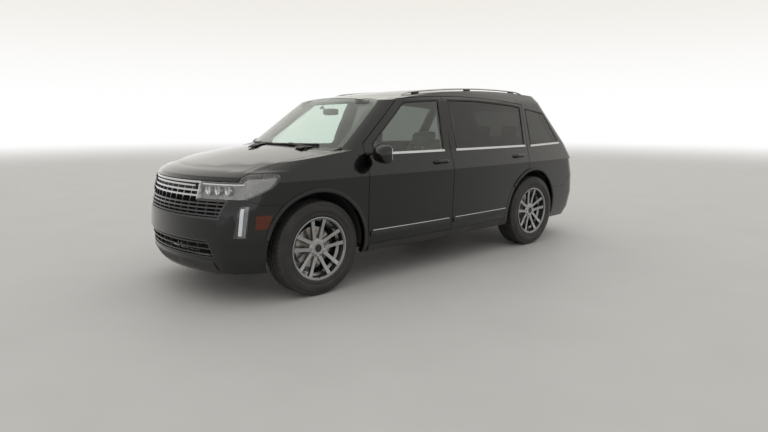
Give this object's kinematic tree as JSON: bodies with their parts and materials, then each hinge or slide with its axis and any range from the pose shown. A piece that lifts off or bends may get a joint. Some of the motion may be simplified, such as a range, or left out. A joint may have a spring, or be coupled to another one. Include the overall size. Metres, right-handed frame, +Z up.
{
  "type": "three-row sport utility vehicle",
  "caption": "Large dark sport utility vehicle with hinged doors, hood and tailgate, steered front wheels and rolling wheels.",
  "frame": {"origin": "on the ground under the middle of the vehicle's overall length and width", "axes": "+Z up, -Y towards the nose, +X towards the vehicle's left side"},
  "size_m": [2.32, 5.0899, 1.7858],
  "materials": {
    "alloy": "painted silver alloy",
    "amber_lens": "amber lamp cover",
    "black_plastic": "black grained plastic",
    "chassis_steel": "black chassis coating",
    "clear_glass": "light green clear glass",
    "dash_plastic": "soft dark plastic",
    "engine_alloy": "cast alloy",
    "exhaust_steel": "stainless pipe",
    "floor_paint": "dark underbody coating",
    "iron": "machined brake disc",
    "lamp_lens": "clear lamp cover",
    "paint": "very dark grey gloss paint",
    "privacy_glass": "dark privacy glass",
    "radiator_alloy": "black radiator core",
    "red_lens": "red lamp cover",
    "seat_leather": "dark leather",
    "tank_plastic": "black tank",
    "tyre": "black tyre rubber",
    "wheel_leather": "black leather rim"
  },
  "bodies": {
    "root": {"corner_lamps": "lamp_lens", "cowl": "black_plastic", "dashboard": "dash_plastic", "engine": "engine_alloy", "exhaust": "exhaust_steel", "fenders": "paint", "floor": "floor_paint", "front_bumper": "paint", "front_seats": "seat_leather", "front_subframe": "chassis_steel", "fuel_tank": "tank_plastic", "grille": "black_plastic", "headlamps": "lamp_lens", "knuckle_rear_left": "chassis_steel", "knuckle_rear_right": "chassis_steel", "quarter_glass": "privacy_glass", "radiator": "radiator_alloy", "rear_bumper": "paint", "rear_seats": "seat_leather", "rear_subframe": "chassis_steel", "roof": "paint", "side_frames": "paint", "side_markers": "amber_lens", "steering_wheel": "wheel_leather", "tail_lamps": "red_lens", "windscreen": "clear_glass"},
    "door_front_left": {"door_front_left": "paint", "glass_front_left": "clear_glass", "mirror_left": "paint"},
    "wheel_front_left": {"tyre_front_left": "tyre", "rim_front_left": "alloy", "brake_front_left": "iron"},
    "door_front_right": {"door_front_right": "paint", "glass_front_right": "clear_glass", "mirror_right": "paint"},
    "wheel_front_right": {"tyre_front_right": "tyre", "rim_front_right": "alloy", "brake_front_right": "iron"},
    "door_rear_left": {"door_rear_left": "paint", "glass_rear_left": "privacy_glass"},
    "wheel_rear_left": {"tyre_rear_left": "tyre", "rim_rear_left": "alloy", "brake_rear_left": "iron"},
    "door_rear_right": {"door_rear_right": "paint", "glass_rear_right": "privacy_glass"},
    "wheel_rear_right": {"tyre_rear_right": "tyre", "rim_rear_right": "alloy", "brake_rear_right": "iron"},
    "steer_left": {"knuckle_front_left": "chassis_steel"},
    "steer_right": {"knuckle_front_right": "chassis_steel"},
    "hood": {"hood": "paint"},
    "tailgate": {"tailgate": "paint", "tailgate_glass": "privacy_glass"}
  },
  "joints": [
    {"name": "door_front_left_hinge", "type": "hinge", "parent": "root", "child": "door_front_left", "pos_m": [0.969, -1.085, 0.8], "axis": [0, 0, -1], "range_deg": [0, 68]},
    {"name": "door_rear_left_hinge", "type": "hinge", "parent": "root", "child": "door_rear_left", "pos_m": [0.985, -0.016, 0.8], "axis": [0, 0, -1], "range_deg": [0, 70]},
    {"name": "steer_left_pin", "type": "hinge", "parent": "root", "child": "steer_left", "pos_m": [0.775, -1.595, 0.399], "axis": [0, 0, 1], "range_deg": [-33, 33]},
    {"name": "wheel_front_left_spin", "type": "hinge", "parent": "steer_left", "child": "wheel_front_left", "pos_m": [0.822, -1.595, 0.399], "axis": [1, 0, 0], "continuous": true},
    {"name": "wheel_rear_left_spin", "type": "hinge", "parent": "root", "child": "wheel_rear_left", "pos_m": [0.822, 1.39, 0.399], "axis": [1, 0, 0], "continuous": true},
    {"name": "door_front_right_hinge", "type": "hinge", "parent": "root", "child": "door_front_right", "pos_m": [-0.969, -1.085, 0.8], "axis": [0, 0, 1], "range_deg": [0, 68]},
    {"name": "door_rear_right_hinge", "type": "hinge", "parent": "root", "child": "door_rear_right", "pos_m": [-0.985, -0.016, 0.8], "axis": [0, 0, 1], "range_deg": [0, 70]},
    {"name": "steer_right_pin", "type": "hinge", "parent": "root", "child": "steer_right", "pos_m": [-0.775, -1.595, 0.399], "axis": [0, 0, 1], "range_deg": [-33, 33]},
    {"name": "wheel_front_right_spin", "type": "hinge", "parent": "steer_right", "child": "wheel_front_right", "pos_m": [-0.822, -1.595, 0.399], "axis": [1, 0, 0], "continuous": true},
    {"name": "wheel_rear_right_spin", "type": "hinge", "parent": "root", "child": "wheel_rear_right", "pos_m": [-0.822, 1.39, 0.399], "axis": [1, 0, 0], "continuous": true},
    {"name": "hood_hinge", "type": "hinge", "parent": "root", "child": "hood", "pos_m": [0, -1.325, 1.215], "axis": [-1, 0, 0], "range_deg": [0, 52]},
    {"name": "tailgate_hinge", "type": "hinge", "parent": "root", "child": "tailgate", "pos_m": [0, 1.895, 1.742], "axis": [1, 0, 0], "range_deg": [0, 82]}
  ],
  "couplings": [
    {"joint": "steer_right_pin", "follows": "steer_left_pin", "ratio": 1}
  ]
}
